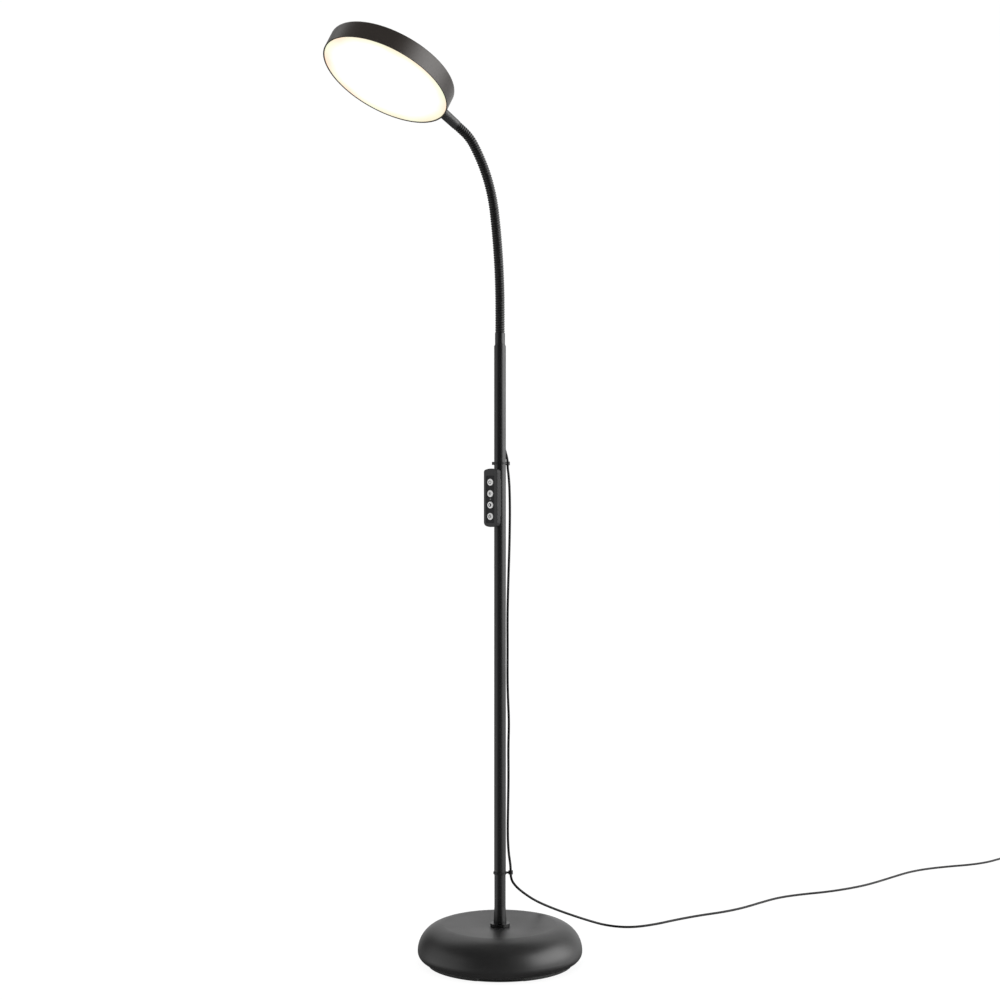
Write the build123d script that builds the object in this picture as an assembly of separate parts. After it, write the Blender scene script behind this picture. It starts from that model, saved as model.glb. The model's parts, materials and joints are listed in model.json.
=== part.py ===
from build123d import *
import os
from math import atan2, cos, pi, radians, sin, tan

# A gooseneck reading floor lamp. Millimetres, +Z up, origin on the floor at the pole's axis.
# +Y points away from the front view, +X to its right. The head leans to -X and -Y, and
# the lead runs off to +X and +Y.

os.makedirs("parts", exist_ok=True)

# ---------------------------------------------------------------- driving sizes
# running and seating clearances
slip = 0.1
loose = 0.3

# base
base_radius = 133.0
base_top = 61.3
base_dish = 3.2
base_wall = 1.2
shoulder_radius = 41.5
hem_width = 7.0
dish_flat = 20.0
pad_height = 3.6
pad_width = 15.0
pad_sweep = 54.0
pad_count = 4
plate_thickness = 1.4
plate_recess = 0.5
plate_margin = 10.0
weight_thickness = 10.0
weight_gap = 1.0
boss_radius = 14.0
base_screw_count = 4
base_screw_inset = 31.0
base_screw_radius = 2.0
base_screw_length = 9.0
countersink = 1.2
hole_depth_gap = 0.5

# pole
pole_radius = 9.5
pole_wall = 1.2
foot_radius = 9.1
foot_flare = 1.3
foot_flare_height = 27.0
foot_land = 4.0
flange_radius = 15.8
flange_thickness = 4.0
gasket_thickness = 1.0
foot_top = 141.0
pole_top = 996.0
tube_gap = 30.0
joint_length = 44.0
joint_bore = 6.0
stud_radius = 5.0
stud_reach = 47.0
stud_in_foot = 14.0
stud_gap = 0.5
collar_spigot = 24.0

# gooseneck: runs of its centreline as (length, turn in degrees), in the bending plane
neck_azimuth = 35.0
neck_runs = [(36.0, 0.0), (158.0, 8.0), (113.0, 26.5), (28.0, 23.0), (15.0, 0.0)]
neck_crest = 7.5
neck_root = 6.75
neck_bore = 3.5
neck_socket = 10.0
rib_pitch = 4.6
bend_places = [131.0, 221.0, 262.0, 303.0, 329.0]
sway_places = [80.0, 176.0, 241.5]
hinge_swing = 12.0
collar_side = 0.6
collar_lip = 0.5
collar_height = 21.0
rib_margin = 0.4

# lamp head
head_tilt = 61.3
head_radius = 105.0
head_thickness = 29.0
head_wall = 1.8
head_back = 1.8
ferrule_length = 36.0
ferrule_offset = 6.2
ferrule_side = 0.4
ferrule_flare = 0.4
spigot_radius = 4.4
spigot_reach = 9.0
nut_gap = 1.3
nut_thickness = 4.0
nut_across = 11.5
board_gap = 13.0
board_thickness = 1.6
board_back = 6.0
led_counts = [6, 12, 18]
led_margin = 18.0
led_side = 3.5
led_height = 0.8
diffuser_thickness = 2.5
diffuser_setback = 0.4
reflector_wall = 0.8
head_screw_count = 3
head_screw_inset = 8.0
head_screw_radius = 1.5
head_screw_length = 5.0

# control panel on the pole
panel_turn = 37.0
panel_middle = 750.3
panel_width = 27.5
panel_height = 94.0
panel_gap = 7.5
panel_depth = 6.5
panel_arch = 3.0
panel_wall = 1.6
panel_top_corner = 4.0
panel_low_corner = 7.0
panel_edge = 1.6
tray_depth = 2.5
lead_hole_radius = 3.0
saddle_width = 14.0
saddle_height = 62.0
saddle_corner = 2.0
button_radius = 5.4
button_pitch = 18.3
button_drop = 2.5
button_proud = 1.1
button_travel = 0.6
button_names = ["power_button", "brightness_button", "colour_button", "timer_button"]
strip_width = 16.0
strip_height = 76.0
strip_depth = 0.5
strip_corner = 3.0
circuit_gap = 0.6
circuit_thickness = 1.0
switch_side = 6.0
switch_height = 1.6
plunger_radius = 1.7
plunger_height = 0.5
lens_radius = 1.2
panel_screw_radius = 1.5
panel_screw_head = 2.85
panel_screw_head_height = 1.6
post_radius = 2.5
post_height = 40.0

# lead, with its clips, coil and plug-in adapter
cord_radius = 2.0
clip_height = 3.0
clip_wall = 1.3
clip_reach = 17.5
clip_eye_wall = 1.4
clip_eye_height = 6.0
clip_eye_mouth = 2.4
clip_eye_play = 0.35
clip_arm = 2.6
clip_tab = 3.4
clip_tab_height = 5.0
clip_tab_turn = 106.0
clip_split = 0.6
upper_clip_rise = 8.7
lower_clip_rise = 3.0
upper_clip_turn = 45.0
lower_clip_turn = 9.0
grommet_radius = 3.2
grommet_length = 10.5
coil_radii = [23.6, 21.2, 18.8, 21.2, 23.6, 26.0]
coil_climb_turn = 2
coil_layer = 4.8
tie_wall = 0.8
tie_width = 6.0
adapter_size = (66.0, 42.0, 26.0)
adapter_corner = 5.0
relief_length = 22.0
pin_radius = 2.0
pin_length = 19.0
pin_spread = 19.0

# The lead's route, as points where its straight runs meet. Out of the grommet and through the
# upper clip: x, y, height from the clip's middle.
cord_exit = [
    (5.73, 12.88, 31.0), (8.1, 17.6, 21.5), (12.37, 12.37, 6.5), (12.37, 12.37, -6.5),
    (13.9, 12.0, -18.0), (15.6, 11.6, -40.0),
]
# Hanging beside the pole: x, y, share of the height from the lower clip to the upper one.
cord_hang = [
    (16.2, 11.0, 0.876), (15.3, 9.6, 0.794), (13.4, 8.2, 0.710), (12.1, 7.2, 0.628), (12.4, 6.5, 0.545),
    (12.1, 6.1, 0.474), (13.0, 5.6, 0.423), (14.7, 5.2, 0.366), (13.4, 4.8, 0.304), (13.9, 4.5, 0.236),
    (13.1, 4.1, 0.160), (12.4, 3.8, 0.097), (13.8, 3.5, 0.048),
]
# Through the lower clip and out over the base: x, y, height from the clip's middle.
cord_lower = [(17.28, 2.74, 11.0), (17.28, 2.74, -10.0), (24.0, 17.0, -24.0), (36.0, 42.0, -40.5)]
# Down to the floor and along it to the coil: x, y, height.
cord_floor = [
    (58.0, 81.0, 80.0), (84.0, 123.0, 59.0), (114.0, 166.0, 38.0), (150.0, 203.0, 17.5), (186.0, 219.0, 3.6),
    (226.0, 212.0, 2.0), (268.0, 231.0, 2.0), (313.0, 268.0, 2.0), (358.0, 299.0, 2.0),
    (406.0, 325.0, 2.0), (446.0, 357.0, 2.0), (484.0, 398.0, 2.0), (522.0, 436.0, 2.0),
    (570.0, 462.0, 2.0), (620.0, 481.0, 2.0), (668.0, 509.0, 2.0), (708.0, 539.0, 2.0),
    (746.0, 577.0, 2.0), (784.0, 618.0, 2.0), (822.0, 657.0, 2.0), (864.0, 685.0, 2.0),
    (912.0, 706.0, 2.0), (960.0, 722.0, 2.0), (1002.0, 746.0, 2.0), (1036.0, 779.0, 2.0),
    (1058.0, 797.0, 2.4), (1078.0, 806.0, 3.0), (1096.0, 806.0, 3.0),
]
# From the coil to the adapter's strain relief.
cord_tail_route = [
    (1096.0, 801.2, 7.8), (1110.0, 801.2, 7.8), (1128.0, 803.0, 10.8),
    (1147.0, 805.5, 13.0), (1163.0, 805.5, 13.0),
]

# ---------------------------------------------------------------- worked-out sizes and directions
waist = base_top - shoulder_radius
plate_bottom = pad_height
plate_top = plate_bottom + plate_thickness
tuck_radius = waist - plate_top
base_rim_radius = base_radius - tuck_radius
base_screw_circle = base_rim_radius - base_screw_inset
recess_radius = base_screw_circle - plate_margin
dish_level = base_top - base_dish
flange_bottom = dish_level + gasket_thickness
flange_top = flange_bottom + flange_thickness
pole_bore = pole_radius - pole_wall
upper_tube_low = panel_middle - panel_height / 2 - tube_gap
tube_ends = [foot_top, (foot_top + upper_tube_low) / 2, upper_tube_low, pole_top]
neck_start = pole_top + collar_height
neck_length = sum(length for length, turn in neck_runs)
hinge_places = sorted(bend_places + sway_places)
collar_radius = neck_crest + collar_side
ferrule_neck_radius = neck_crest + ferrule_side
ferrule_head_radius = ferrule_neck_radius + ferrule_flare
tray_back = pole_radius + panel_gap
panel_seam = tray_back + tray_depth
panel_face = panel_seam + panel_depth
circuit_level = tray_back + panel_wall + circuit_gap
plunger_level = circuit_level + circuit_thickness + switch_height + plunger_height
board_level = -head_thickness / 2 + board_back
board_radius = head_radius - board_gap
head_screw_circle = board_radius - head_screw_inset
diffuser_level = head_thickness / 2 - diffuser_setback - diffuser_thickness
upper_clip_height = panel_middle + panel_height / 2 + upper_clip_rise
lower_clip_height = foot_top + lower_clip_rise

up = Vector(0, 0, 1)
bend_out = Vector(-cos(radians(neck_azimuth)), -sin(radians(neck_azimuth)), 0)
bend_side = up.cross(bend_out)


# ---------------------------------------------------------------- helpers
def save(name, *solids):
    """Write one sub-part, made of one or more separate solids, under its name."""
    found = [solid for shape in solids for solid in shape.solids()]
    part = found[0] if len(found) == 1 else Compound(children=found)
    part.label = name
    export_step(part, f"parts/{name}.step")


def turned(*points):
    """Solid turned about Z from its (radius, height) outline."""
    return revolve(make_face(Polyline(*[(r, 0, z) for r, z in points], close=True)), Axis.Z)


def ring(outer, inner, bottom, top):
    """Tube standing on Z between two heights."""
    body = Pos(0, 0, bottom) * extrude(Circle(outer), top - bottom)
    if inner <= 0:
        return body
    bore = Pos(0, 0, bottom - 1) * extrude(Circle(inner), top - bottom + 2)
    return body - bore


def rod(place, radius, bottom, top):
    """Round bar along a plane's normal, between two distances from the plane."""
    return place * Pos(0, 0, bottom) * extrude(Circle(radius), top - bottom)


def around(count, radius, start=0.0):
    """Places evenly spaced on a circle."""
    for k in range(count):
        turn = start + 360.0 * k / count
        yield Rot(0, 0, turn) * Pos(radius, 0, 0)


# ---------------------------------------------------------------- base
def base_outline(inset):
    """Right half of the base cover's section, set in from its outside by `inset`."""
    shoulder_centre = base_radius - shoulder_radius
    middle = (stud_radius + slip, dish_level - inset)
    flat = (dish_flat, dish_level - inset)
    shoulder = (shoulder_centre, base_top - inset)
    rim = (base_rim_radius, plate_top + inset)
    hem = (base_rim_radius - hem_width, plate_top + inset)
    lines = [
        Line(middle, flat),
        Line(flat, shoulder),
        CenterArc((shoulder_centre, waist), shoulder_radius - inset, 0, 90),
        CenterArc((base_rim_radius, waist), tuck_radius - inset, 270, 90),
        Line(rim, hem),
    ]
    return lines, middle, hem


def base_cover():
    outer, outer_middle, outer_hem = base_outline(0.0)
    inner, inner_middle, inner_hem = base_outline(base_wall)
    ends = [Line(outer_middle, inner_middle), Line(outer_hem, inner_hem)]
    return revolve(Plane.XZ * make_face(outer + inner + ends), Axis.Z)


def base_weight():
    """Cast disc with a boss that rises to the cover and takes the pole's stud."""
    boss_top = dish_level - base_wall
    disc = ring(base_rim_radius - hem_width - weight_gap, 0, plate_top, plate_top + weight_thickness)
    body = disc + ring(boss_radius, 0, plate_top, boss_top)
    body = body - ring(stud_radius + slip, 0, boss_top - stud_reach, boss_top + 1)
    for place in around(base_screw_count, base_screw_circle, 45):
        hole = ring(base_screw_radius + slip, 0, plate_top - 1, plate_bottom + base_screw_length + hole_depth_gap)
        body = body - place * hole
    return body


def base_plate():
    """Plate that closes the base, with a shallow round recess under its middle."""
    body = ring(base_rim_radius, 0, plate_bottom, plate_top)
    body = body - ring(recess_radius, 0, plate_bottom - 1, plate_bottom + plate_recess)
    for place in around(base_screw_count, base_screw_circle, 45):
        body = body - place * base_screw(slip, 1.0)
    return body


def base_screw(grow=0.0, beyond=0.0):
    """Countersunk screw, or the hole that it needs."""
    low = plate_bottom - beyond
    shank = base_screw_radius + grow
    sunk = plate_bottom + countersink
    top = plate_bottom + base_screw_length + beyond
    return turned((0, low), (shank + sunk - low, low), (shank, sunk), (shank, top), (0, top))


def foot_pad(middle):
    """One of the arc-shaped pads that the lamp stands on."""
    outer = base_rim_radius - 0.5
    band = ring(outer, outer - pad_width, 0, pad_height)
    reach = base_radius * 2
    half = radians(pad_sweep / 2)
    wedge = make_face(Polyline((0, 0), (reach * cos(half), -reach * sin(half)),
                               (reach * cos(half), reach * sin(half)), close=True))
    return Rot(0, 0, middle) * (band & extrude(wedge, pad_height))


def make_base():
    save("base_cover", base_cover())
    save("base_weight", base_weight())
    save("base_plate", base_plate())
    screws = [place * base_screw() for place in around(base_screw_count, base_screw_circle, 45)]
    save("base_screws", *screws)
    for k in range(pad_count):
        save(f"foot_pad_{k + 1}", foot_pad(45 + 360.0 * k / pad_count))


# ---------------------------------------------------------------- pole
def pole_foot():
    """Flanged foot that flares at its root and plugs into the lowest tube."""
    spigot = pole_bore - slip
    flare = foot_radius + foot_flare
    stud_top = flange_top + stud_in_foot
    return turned(
        (stud_radius + slip, flange_bottom), (flange_radius, flange_bottom),
        (flange_radius, flange_top), (flare, flange_top), (flare, flange_top + foot_land),
        (foot_radius, flange_top + foot_flare_height), (foot_radius, foot_top),
        (spigot, foot_top), (spigot, foot_top + joint_length / 2),
        (joint_bore, foot_top + joint_length / 2), (joint_bore, stud_top),
        (stud_radius + slip, stud_top))


def foot_gasket():
    return ring(flange_radius - 1, stud_radius + slip, dish_level, flange_bottom)


def foot_stud():
    low = dish_level - base_wall - stud_reach + stud_gap
    return ring(stud_radius, 0, low, flange_top + stud_in_foot)


def pole_tube(index):
    return ring(pole_radius, pole_bore, tube_ends[index], tube_ends[index + 1])


def pole_joint(index):
    """Sleeve inside the pole that joins two tubes."""
    middle = tube_ends[index]
    return ring(pole_bore - slip, joint_bore, middle - joint_length / 2, middle + joint_length / 2)


def neck_collar():
    """Turned collar in the pole's top that holds the gooseneck."""
    socket = neck_root + slip
    seat = neck_start - neck_socket
    low = pole_top - collar_spigot
    return turned(
        (neck_bore, low), (pole_bore - slip, low), (pole_bore - slip, pole_top),
        (collar_radius + collar_lip, pole_top), (collar_radius + collar_lip, pole_top + 1.5),
        (collar_radius, pole_top + 2.5), (collar_radius, neck_start - 0.6),
        (collar_radius - 0.6, neck_start), (socket, neck_start), (socket, seat), (neck_bore, seat))


def make_pole():
    save("pole_foot", pole_foot())
    save("foot_gasket", foot_gasket())
    save("foot_stud", foot_stud())
    save("pole_lower_tube", pole_tube(0))
    save("pole_middle_tube", pole_tube(1))
    upper = pole_tube(2) - grommet_hole()
    for place in panel_screw_places():
        upper = upper - rod(place, panel_screw_radius + slip, 0, pole_radius + 1)
    upper = upper - rod(panel_plane(), lead_hole_radius, 0, pole_radius + 1)
    save("pole_upper_tube", upper)
    save("pole_joint_lower", pole_joint(1))
    save("pole_joint_upper", pole_joint(2))
    save("neck_collar", neck_collar())


# ---------------------------------------------------------------- gooseneck
def neck_at(distance):
    """Reach, rise and lean from vertical (radians) at a distance along the gooseneck."""
    reach, rise, lean = 0.0, min(distance, 0.0), 0.0
    left = max(distance, 0.0)
    for length, turn in neck_runs:
        step = min(left, length)
        swing = radians(turn) * step / length
        chord = step if swing == 0 else 2 * length / radians(turn) * sin(swing / 2)
        reach += chord * sin(lean + swing / 2)
        rise += chord * cos(lean + swing / 2)
        lean += swing
        left -= step
    reach += left * sin(lean)
    rise += left * cos(lean)
    return reach, rise, lean


def neck_plane(distance):
    """Plane square across the gooseneck, its X axis steady along the bending axis."""
    reach, rise, lean = neck_at(distance)
    origin = bend_out * reach + up * (neck_start + rise)
    return Plane(origin=origin, x_dir=bend_side, z_dir=bend_out * sin(lean) + up * cos(lean))


def hinge_gap(radius):
    """Half the gap between two lengths of gooseneck, wide enough for them to swing."""
    return slip / 2 + radius * tan(radians(hinge_swing / 2))


def neck_length_of_ribs(index):
    """One length of ribbed hose between two hinges, the first and last with a plain end."""
    first = index == 0
    last = index == len(hinge_places)
    low = 0.0 if first else hinge_places[index - 1]
    high = neck_length if last else hinge_places[index]
    tip = neck_bore + 0.6
    stations = []
    if first:
        stations += [(-neck_socket, neck_root), (0.0, neck_root)]
        rib_low = rib_margin
    else:
        stations += [(low + hinge_gap(tip), tip)]
        rib_low = low + hinge_gap(neck_root)
    rib_high = high - (rib_margin if last else hinge_gap(neck_root))
    count = round((rib_high - rib_low) / rib_pitch)
    pitch = (rib_high - rib_low) / count
    for k in range(count):
        foot = rib_low + k * pitch
        stations += [(foot + 0.1 * pitch, neck_root), (foot + 0.3 * pitch, neck_crest),
                     (foot + 0.7 * pitch, neck_crest), (foot + 0.9 * pitch, neck_root)]
    if last:
        stations += [(high, neck_root), (high + neck_socket, neck_root)]
    else:
        stations += [(high - hinge_gap(tip), tip)]
    hose = loft([neck_plane(s) * Circle(r) for s, r in stations], ruled=True)
    steps = max(2, round((stations[-1][0] - stations[0][0]) / 9))
    span = stations[-1][0] - stations[0][0] + 2
    bore = loft([neck_plane(stations[0][0] - 1 + span * k / steps) * Circle(neck_bore)
                 for k in range(steps + 1)], ruled=True)
    return hose - bore


def make_neck():
    for index in range(len(hinge_places) + 1):
        save(f"neck_hose_{index + 1}", neck_length_of_ribs(index))


# ---------------------------------------------------------------- lamp head
def head_plane():
    """Plane at the head's middle: Z towards the light, Y away from the gooseneck."""
    place = neck_plane(neck_length)
    lean = radians(head_tilt)
    along = bend_out * sin(lean) + up * cos(lean)
    light = bend_out * cos(lean) - up * sin(lean)
    entry = place.origin + place.z_dir * ferrule_length
    middle = entry + along * head_radius + light * ferrule_offset
    return Plane(origin=middle, x_dir=bend_side, z_dir=light)


def head_housing():
    """Shallow round pan, open towards the light, with a hole for the ferrule."""
    half = head_thickness / 2
    inside = head_radius - head_wall
    pan = turned(
        (0, -half), (head_radius - 2, -half), (head_radius - 0.6, -half + 0.6), (head_radius, -half + 2),
        (head_radius, half), (inside, half), (inside, -half + head_back), (0, -half + head_back))
    for place in around(head_screw_count, head_screw_circle, 90):
        post = ring(4, head_screw_radius + slip, -half + head_back, board_level)
        pan = pan + place * post
    pan = head_plane() * pan
    place = neck_plane(neck_length)
    return pan - rod(place, spigot_radius + slip, ferrule_length - 15, ferrule_length + 20)


def head_ferrule():
    """Tapered ferrule with a socket for the gooseneck and a threaded spigot for the nut."""
    socket = neck_root + slip
    spigot_end = ferrule_length + spigot_reach
    flare = turned(
        (socket, 0), (ferrule_neck_radius - 0.5, 0), (ferrule_neck_radius, 0.8),
        (ferrule_head_radius, ferrule_length * 0.8), (ferrule_head_radius, ferrule_length + 5),
        (spigot_radius, ferrule_length + 5), (neck_bore, ferrule_length + 5),
        (neck_bore, neck_socket), (socket, neck_socket))
    flare = neck_plane(neck_length) * flare
    flare = flare - head_plane() * ring(head_radius + slip / 2, 0, -head_thickness, head_thickness)
    spigot = neck_plane(neck_length) * ring(spigot_radius, neck_bore, ferrule_length - 6, spigot_end)
    return flare + spigot


def head_nut():
    """Locking nut on the ferrule's spigot, inside the housing."""
    low = ferrule_length + head_wall + nut_gap
    body = extrude(RegularPolygon(nut_across / 2, 6, major_radius=False), nut_thickness)
    bore = Pos(0, 0, -1) * extrude(Circle(spigot_radius + slip / 2), nut_thickness + 2)
    return neck_plane(neck_length) * Pos(0, 0, low) * (body - bore)


def led_board():
    body = ring(board_radius, 0, board_level, board_level + board_thickness)
    for place in around(head_screw_count, head_screw_circle, 90):
        body = body - place * ring(head_screw_radius + slip, 0, board_level - 1, board_level + 5)
    return head_plane() * body


def led_chips():
    top = board_level + board_thickness
    chip = Pos(0, 0, top) * extrude(Rectangle(led_side, led_side), led_height)
    chips = []
    for k, count in enumerate(led_counts):
        radius = (board_radius - led_margin) * (k + 1) / len(led_counts)
        chips += [head_plane() * place * chip for place in around(count, radius, 15)]
    return chips


def head_screws():
    seat = board_level + board_thickness
    screw = turned((0, seat - head_screw_length), (head_screw_radius, seat - head_screw_length),
                   (head_screw_radius, seat), (head_screw_radius * 2, seat),
                   (head_screw_radius * 1.6, seat + 1.4), (0, seat + 1.4))
    return [head_plane() * place * screw for place in around(head_screw_count, head_screw_circle, 90)]


def reflector():
    """White dish from the lamp board to the diffuser's rim."""
    low = board_level + board_thickness
    high = diffuser_level
    foot = board_radius - 1
    rim = head_radius - head_wall - loose
    flat = rim - 4
    return head_plane() * turned(
        (foot - reflector_wall, low), (foot, low), (flat + reflector_wall, high - reflector_wall),
        (rim, high - reflector_wall), (rim, high), (flat, high))


def diffuser():
    low = diffuser_level
    radius = head_radius - head_wall - loose
    edge = 0.6
    return head_plane() * turned((0, low), (radius, low), (radius, low + diffuser_thickness - edge),
                                 (radius - edge, low + diffuser_thickness), (0, low + diffuser_thickness))


def make_head():
    save("head_ferrule", head_ferrule())
    save("head_housing", head_housing())
    save("head_nut", head_nut())
    save("led_board", led_board())
    save("led_chips", *led_chips())
    save("head_screws", *head_screws())
    save("reflector", reflector())
    save("diffuser", diffuser())


# ---------------------------------------------------------------- control panel
def panel_plane(height=0.0):
    """Plane on the pole's axis facing out through the control panel, Y up."""
    turn = radians(panel_turn)
    across = Vector(cos(turn), -sin(turn), 0)
    outward = Vector(-sin(turn), -cos(turn), 0)
    return Plane(origin=(0, 0, panel_middle + height), x_dir=across, z_dir=outward)


def panel_screw_places():
    """Between the first two buttons and between the last two."""
    return [panel_plane((button_height(k) + button_height(k + 1)) / 2) for k in (0, 2)]


def button_height(index):
    return button_pitch * (1.5 - index) - button_drop


def panel_outline(shrink=0.0):
    """Upright face with arched ends and rounded corners, rounder at the bottom."""
    side = panel_width / 2 - shrink
    top = panel_height / 2 - shrink
    shoulder = top - panel_arch
    outline = make_face([
        Line((-side, -shoulder), (-side, shoulder)),
        ThreePointArc((-side, shoulder), (0, top), (side, shoulder)),
        Line((side, shoulder), (side, -shoulder)),
        ThreePointArc((side, -shoulder), (0, -top), (-side, -shoulder)),
    ])
    corners = outline.vertices().sort_by(Axis.Y)
    outline = fillet(corners[:2], panel_low_corner - shrink)
    return fillet(outline.vertices().sort_by(Axis.Y)[-2:], panel_top_corner - shrink)


def panel_block(low, high, shrink=0.0):
    """Slab of the panel's outline between two distances from the pole's axis."""
    return panel_plane() * Pos(0, 0, low) * extrude(panel_outline(shrink), high - low)


def panel_front():
    """Front shell, with holes for the buttons and the indicator in a sunk strip."""
    body = panel_block(panel_seam, panel_face)
    front = body.faces().sort_by(Axis((0, 0, 0), panel_plane().z_dir))[-1]
    body = fillet(front.edges(), panel_edge)
    body = body - panel_block(panel_seam - 1, panel_face - panel_wall, panel_wall)
    strip = RectangleRounded(strip_width, strip_height, strip_corner)
    body = body - panel_plane(-button_drop) * Pos(0, 0, panel_face - strip_depth) * extrude(strip, 1)
    for index in range(len(button_names)):
        place = panel_plane(button_height(index))
        body = body - rod(place, button_radius + slip, panel_seam, panel_face + 1)
    return body - rod(panel_plane(indicator_height()), lens_radius + slip, panel_seam, panel_face + 1)


def indicator_height():
    return (button_height(1) + button_height(2)) / 2


def panel_rear():
    """Rear tray, with a saddle that is hollowed to fit the pole."""
    body = panel_block(tray_back, panel_seam)
    body = body - panel_block(tray_back + panel_wall, panel_seam + 1, panel_wall)
    saddle = RectangleRounded(saddle_width, saddle_height, saddle_corner)
    body = body + panel_plane() * Pos(0, 0, pole_radius / 2) * extrude(saddle, tray_back - pole_radius / 2)
    body = body - ring(pole_radius + slip / 2, 0, panel_middle - panel_height, panel_middle + panel_height)
    body = body - rod(panel_plane(), lead_hole_radius, 0, panel_seam)
    for height in (-post_height, post_height):
        body = body + rod(panel_plane(height), post_radius, tray_back + panel_wall / 2, circuit_level)
    for place in panel_screw_places():
        body = body - rod(place, panel_screw_radius + slip, 0, panel_seam)
    return body


def panel_screws():
    """Screws that hold the rear tray to the pole."""
    seat = tray_back + panel_wall
    screws = []
    for place in panel_screw_places():
        shank = rod(place, panel_screw_radius, pole_bore - 2, seat)
        screws += [shank + rod(place, panel_screw_head, seat, seat + panel_screw_head_height)]
    return screws


def control_board():
    """Circuit board that rests on the rear tray's posts, with a hole over each screw's head."""
    high = circuit_level + circuit_thickness
    body = panel_block(circuit_level, high, panel_wall + loose)
    for place in panel_screw_places():
        body = body - rod(place, panel_screw_head + loose, circuit_level - 1, high + 1)
    return body


def switches():
    low = circuit_level + circuit_thickness
    found = []
    for index in range(len(button_names)):
        place = panel_plane(button_height(index)) * Pos(0, 0, low)
        can = place * extrude(Rectangle(switch_side, switch_side), switch_height)
        found += [can + rod(panel_plane(button_height(index)), plunger_radius, low, plunger_level)]
    return found


def button(index):
    """Round cap with a wide skirt behind the face and a stem down to its switch."""
    place = panel_plane(button_height(index))
    skirt_top = panel_face - panel_wall - 0.05
    skirt_low = skirt_top - 1.0
    stem_low = plunger_level + button_travel + slip
    crown = panel_face + button_proud
    cap = turned(
        (0, stem_low), (1.6, stem_low), (1.6, skirt_low), (button_radius + 1.1, skirt_low),
        (button_radius + 1.1, skirt_top), (button_radius, skirt_top), (button_radius, crown - 0.6),
        (button_radius - 0.6, crown - 0.1), (button_radius - 2.2, crown), (0, crown))
    return place * cap


def indicator_lens():
    low = circuit_level + circuit_thickness
    return rod(panel_plane(indicator_height()), lens_radius, low, panel_face - strip_depth + 0.2)


def make_panel():
    save("panel_front", panel_front())
    save("panel_rear", panel_rear())
    save("panel_screws", *panel_screws())
    save("control_board", control_board())
    save("switches", *switches())
    for index, name in enumerate(button_names):
        save(name, button(index))
    save("indicator_lens", indicator_lens())


# ---------------------------------------------------------------- lead
def corner_radii(points):
    """Largest arc for each corner: 0.45 of the shorter run over the tangent of half the turn."""
    radii = []
    for before, here, after in zip(points, points[1:], points[2:]):
        run_in = Vector(here) - Vector(before)
        run_out = Vector(after) - Vector(here)
        half_turn = radians(run_in.get_angle(run_out)) / 2
        radii.append(0.45 * min(run_in.length, run_out.length) / tan(half_turn))
    return radii


def swept_cord(name, path):
    """Round tube along a path, with its volume set beside its section times its length."""
    start = Plane(origin=path @ 0, z_dir=path % 0)
    tube = sweep(start * Circle(cord_radius), path=path)
    expected = pi * cord_radius**2 * path.length
    print(name, "length", round(path.length, 1), "volume", round(tube.volume), "of", round(expected))
    return tube


def cord_route():
    """All points of the lead from its grommet to the coil."""
    between = upper_clip_height - lower_clip_height
    points = [(x, y, upper_clip_height + z) for x, y, z in cord_exit]
    points += [(x, y, lower_clip_height + share * between) for x, y, share in cord_hang]
    points += [(x, y, lower_clip_height + z) for x, y, z in cord_lower]
    return points + cord_floor


def cord_along(name, points):
    radii = corner_radii(points)
    print(name, "radii", [round(r) for r in radii])
    return swept_cord(name, FilletPolyline(*points, radius=radii))


def coil_arcs():
    """Half turns of the coil: in along the floor, up one layer on a tilted one, out again on top."""
    here = Vector(*cord_floor[-1])
    heading = 1
    arcs = []
    for k, radius in enumerate(coil_radii):
        climb = coil_layer if k == coil_climb_turn else 0.0
        across = Vector(0, heading * 2 * radius * cos(climb_angle(radius, climb)), climb)
        centre = here + across * 0.5
        middle = centre + Vector(heading * radius, 0, 0)
        after = here + across
        arcs.append(ThreePointArc(here, middle, after))
        here = after
        heading = -heading
    return arcs


def climb_angle(radius, climb):
    """Tilt of a half turn that ends one layer higher than it starts."""
    return atan2(climb, 2 * radius)


def least_gap(arcs):
    """Smallest space between two stretches of the coil that aren't neighbours along it."""
    points = []
    for arc in arcs:
        points += [arc @ (k / 24) for k in range(24)]
    step = pi * coil_radii[0] / 24
    skip = int(3 * 2 * cord_radius / step) + 1
    gaps = [(a - b).length for i, a in enumerate(points) for b in points[i + skip:]]
    return min(gaps) - 2 * cord_radius


def coil_tie(arcs):
    """Flat band round the coil's turns on the side away from the adapter."""
    near_side = [arc @ 0.5 for arc in arcs[1::2]]
    left = min(point.X for point in near_side) - cord_radius - 0.3
    right = max(point.X for point in near_side) + cord_radius + 0.9
    low = (arcs[0] @ 0).Z - cord_radius - 0.1
    high = (arcs[-1] @ 1).Z + cord_radius + 0.2
    middle_y = sum(point.Y for point in near_side) / len(near_side)
    place = Plane(origin=((left + right) / 2, middle_y, (low + high) / 2), x_dir=(1, 0, 0), z_dir=(0, 1, 0))
    inner = RectangleRounded(right - left, high - low, 1.4)
    outer = RectangleRounded(right - left + 2 * tie_wall, high - low + 2 * tie_wall, 1.4 + tie_wall)
    return place * Pos(0, 0, -tie_width / 2) * extrude(outer - inner, tie_width)


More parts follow.
